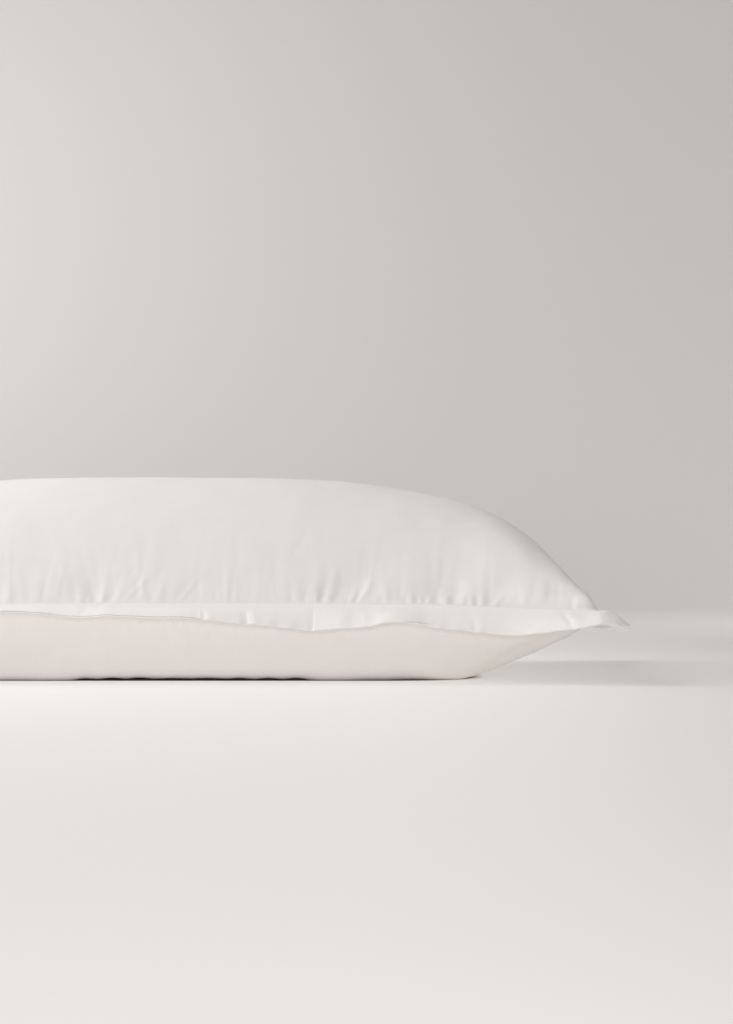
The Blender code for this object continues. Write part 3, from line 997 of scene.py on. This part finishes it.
def cotton(name, place_output="UV"):
    """woven cotton; cloth has its threads on its own flat map, and thread its twist in the object's space"""
    facts = COTTONS[name]
    material = bpy.data.materials.new(name)
    material.use_nodes = True
    nodes, links = material.node_tree.nodes, material.node_tree.links
    shader = nodes["Principled BSDF"]
    shader.inputs["Sheen Weight"].default_value = facts.sheen
    shader.inputs["Sheen Roughness"].default_value = SHEEN_ROUGHNESS
    if place_output == "UV":
        place = nodes.new("ShaderNodeUVMap")
        place.uv_map = CLOTH_MAP
    else:
        place = nodes.new("ShaderNodeTexCoord")
    weave = nodes.new("ShaderNodeGroup")
    weave.node_tree = WEAVE
    weave.inputs["Thread Pitch"].default_value = facts.pitch
    weave.inputs["Weave Depth"].default_value = facts.weave_depth
    weave.inputs["Slub Depth"].default_value = facts.slub_depth
    weave.inputs["Rumple Depth"].default_value = facts.rumple_depth
    links.new(place.outputs[place_output], weave.inputs["Place"])
    tint = nodes.new("ShaderNodeMix")
    tint.data_type = "RGBA"
    tint.inputs["A"].default_value = (*facts.light, 1)
    tint.inputs["B"].default_value = (*facts.dark, 1)
    links.new(weave.outputs["Shade"], tint.inputs["Factor"])
    links.new(tint.outputs["Result"], shader.inputs["Base Color"])
    rough = nodes.new("ShaderNodeMapRange")
    rough.inputs["To Min"].default_value = facts.roughness - ROUGHNESS_PLAY
    rough.inputs["To Max"].default_value = facts.roughness + ROUGHNESS_PLAY
    links.new(weave.outputs["Shade"], rough.inputs["Value"])
    links.new(rough.outputs["Result"], shader.inputs["Roughness"])
    bump = nodes.new("ShaderNodeBump")
    bump.inputs["Distance"].default_value = 1.0
    links.new(weave.outputs["Height"], bump.inputs["Height"])
    links.new(bump.outputs["Normal"], shader.inputs["Normal"])
    return material


WEAVE = cotton_weave()
case_cotton = cotton("case_cotton")
# the flange's cotton is painted lighter than the case's: painted highlight
flange_cotton = cotton("flange_cotton")
seam_thread = cotton("seam_thread", "Object")

# -------------------- the pieces
form = settled_form()
pocket = pocket_piece(form, case_cotton)
layers = flange_pieces(form, flange_cotton)
stitches = stitch_piece(form, seam_thread)

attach(pocket, "root")
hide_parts("filled_case")
for layer, node in zip(layers, ("flange_front_layer", "flange_back_layer")):
    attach(layer, "root")
    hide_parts(node)
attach(stitches, "root")


# -------------------- studio and camera
STUDIO_PAPER = (0.56, 0.547, 0.535)
STUDIO_ROUGHNESS = 0.95
AIR_STRENGTH = 0.42
# the table's glow is painted light: emission from the paper that stands in for light from below on the
# case's underside; it fades out behind the case and dims towards the right, as light from the left falls off
PAINTED_GLOW_COLOUR = (1.0, 0.965, 0.915)
PAINTED_GLOW_STRENGTH = 0.39
GLOW_NEAR, GLOW_FAR = -0.3, 2.6
GLOW_LEFT, GLOW_RIGHT, GLOW_RIGHT_SHARE = 0.15, 0.6, 0.6
# the stretch of table that the case lies on, where the glow is cut off: its soft edge paints a contact
# shadow along the case
CONTACT_HALF_LENGTH, CONTACT_HALF_WIDTH, CONTACT_ROUND = 0.258, 0.172, 0.07
CONTACT_SHADOW_FADE = 0.016
GRAIN_SIZE = 0.004
GRAIN_DEPTH = 0.0001


def studio_material():
    """pale paper with painted light: it glows before and round the case, standing in for light from below,
    and is plain behind it
    """
    material = bpy.data.materials.new("studio_paper_painted_glow")
    material.use_nodes = True
    tree = material.node_tree
    nodes, links, compute = tree.nodes, tree.links, sums(tree)
    shader = nodes["Principled BSDF"]
    shader.inputs["Base Color"].default_value = (*STUDIO_PAPER, 1)
    shader.inputs["Roughness"].default_value = STUDIO_ROUGHNESS
    shader.inputs["Emission Strength"].default_value = PAINTED_GLOW_STRENGTH
    place = nodes.new("ShaderNodeTexCoord").outputs["Object"]
    parts = nodes.new("ShaderNodeSeparateXYZ")
    links.new(place, parts.inputs[0])
    fade = nodes.new("ShaderNodeMapRange")
    fade.interpolation_type = "SMOOTHSTEP"
    fade.inputs["From Min"].default_value = GLOW_FAR
    fade.inputs["From Max"].default_value = GLOW_NEAR
    links.new(parts.outputs["Y"], fade.inputs["Value"])
    dim = nodes.new("ShaderNodeMapRange")
    dim.interpolation_type = "SMOOTHSTEP"
    dim.inputs["From Min"].default_value = GLOW_LEFT
    dim.inputs["From Max"].default_value = GLOW_RIGHT
    dim.inputs["To Min"].default_value = 1.0
    dim.inputs["To Max"].default_value = GLOW_RIGHT_SHARE
    links.new(parts.outputs["X"], dim.inputs["Value"])
    beyond = []
    # painted contact shadow: the glow fades out towards the stretch the case lies on
    for axis, half in (("X", CONTACT_HALF_LENGTH), ("Y", CONTACT_HALF_WIDTH)):
        off = compute("SUBTRACT", compute("ABSOLUTE", parts.outputs[axis]), half - CONTACT_ROUND)
        beyond.append(compute("POWER", compute("MAXIMUM", off, 0.0), 2.0))
    apart = compute("SUBTRACT", compute("SQRT", compute("ADD", *beyond)), CONTACT_ROUND)
    clear = nodes.new("ShaderNodeMapRange")
    clear.interpolation_type = "SMOOTHSTEP"
    clear.inputs["From Max"].default_value = CONTACT_SHADOW_FADE
    links.new(apart, clear.inputs["Value"])
    # painted light: the paper glows, fading behind the case, dimmer to the right and cut off where the case
    # lies
    glow = nodes.new("ShaderNodeMix")
    glow.data_type = "RGBA"
    glow.inputs["A"].default_value = (0, 0, 0, 1)
    glow.inputs["B"].default_value = (*PAINTED_GLOW_COLOUR, 1)
    share = compute("MULTIPLY", fade.outputs["Result"], dim.outputs["Result"])
    links.new(compute("MULTIPLY", share, clear.outputs["Result"]), glow.inputs["Factor"])
    links.new(glow.outputs["Result"], shader.inputs["Emission Color"])
    grain = nodes.new("ShaderNodeTexNoise")
    grain.inputs["Scale"].default_value = 1 / GRAIN_SIZE
    links.new(place, grain.inputs["Vector"])
    bump = nodes.new("ShaderNodeBump")
    bump.inputs["Distance"].default_value = GRAIN_DEPTH
    links.new(grain.outputs[0], bump.inputs["Height"])
    links.new(bump.outputs["Normal"], shader.inputs["Normal"])
    return material


def studio_floor():
    """a pale table top that sweeps up into the backdrop"""
    half_width, near, far = 6.0, -5.0, 2.2
    radius, height = 1.6, 5.0
    turn = np.linspace(0, math.pi / 2, 24)
    section = [(near, 0.0)]
    section += [(far + radius * math.sin(a), radius * (1 - math.cos(a))) for a in turn]
    section.append((far + radius, height))
    corners = np.array([[(x, y, z) for y, z in section] for x in (-half_width, half_width)])
    numbers = np.arange(2 * len(section)).reshape(2, len(section))
    return new_piece("studio_floor", corners, quads(numbers), studio_material())


def aim(thing, target):
    away = Vector(target) - thing.location
    thing.rotation_euler = away.to_track_quat("-Z", "Y").to_euler()


def soft_light(name, place, target, size, power, colour):
    light = bpy.data.lights.new(name, "AREA")
    light.shape = "SQUARE"
    light.size = size
    light.energy = power
    light.color = colour
    lamp = bpy.data.objects.new(name, light)
    bpy.context.scene.collection.objects.link(lamp)
    lamp.location = place
    aim(lamp, target)


PICTURE_HEIGHT = 1024
PICTURE_CENTRE = 366.5
CASE_MIDDLE_IN_PICTURE = 165
FLOOR_LINE_IN_PICTURE = 684.3
EYE_LINE_IN_PICTURE = 512
PIXELS_PER_METRE = 1193
NEAR_SEAM = -0.244
CAMERA_DISTANCE = 3.2
SENSOR = 36.0


def photo_camera():
    """a long lens level with the case, as the picture was taken"""
    camera = bpy.data.cameras.new("camera")
    camera.sensor_width = SENSOR
    camera.lens = PIXELS_PER_METRE * CAMERA_DISTANCE / PICTURE_HEIGHT * SENSOR
    holder = bpy.data.objects.new("camera", camera)
    bpy.context.scene.collection.objects.link(holder)
    holder.location = (
        (PICTURE_CENTRE - CASE_MIDDLE_IN_PICTURE) / PIXELS_PER_METRE,
        NEAR_SEAM - CAMERA_DISTANCE,
        (FLOOR_LINE_IN_PICTURE - EYE_LINE_IN_PICTURE) / PIXELS_PER_METRE,
    )
    holder.rotation_euler = (math.pi / 2, 0, 0)
    bpy.context.scene.camera = holder


studio_floor()
CASE_MIDDLE = (0, 0, 0.1)
soft_light("window_light", (-1.1, 0.2, 1.0), CASE_MIDDLE, 1.2, 15.6, (1.0, 0.992, 0.988))
soft_light("side_light", (-1.9, -1.2, 1.7), CASE_MIDDLE, 1.6, 10.8, (1.0, 0.98, 0.982))
soft_light("low_light", (0.1, -3.9, 0.35), (0.1, 0, 0.05), 0.6, 28.5, (1.0, 0.966, 0.951))
soft_light("backdrop_left", (-1.4, 2.9, 1.0), (-0.4, 3.5, 0.3), 0.8, 8.6, (0.982, 0.975, 1.0))
soft_light("backdrop_middle", (-0.4, 2.7, 1.5), (-0.3, 3.2, 0.0), 0.8, 5.2, (1.0, 0.932, 0.854))
soft_light("backdrop_right", (1.7, 1.3, 1.0), (1.0, 3.6, 0.2), 1.0, 20.5, (1.0, 0.943, 0.907))
world = bpy.data.worlds.new("studio_air")
world.use_nodes = True
world.node_tree.nodes["Background"].inputs["Color"].default_value = (1.0, 1.0, 1.0, 1)
world.node_tree.nodes["Background"].inputs["Strength"].default_value = AIR_STRENGTH
bpy.context.scene.world = world
bpy.context.scene.view_settings.view_transform = "Standard"
photo_camera()

bpy.context.view_layer.update()
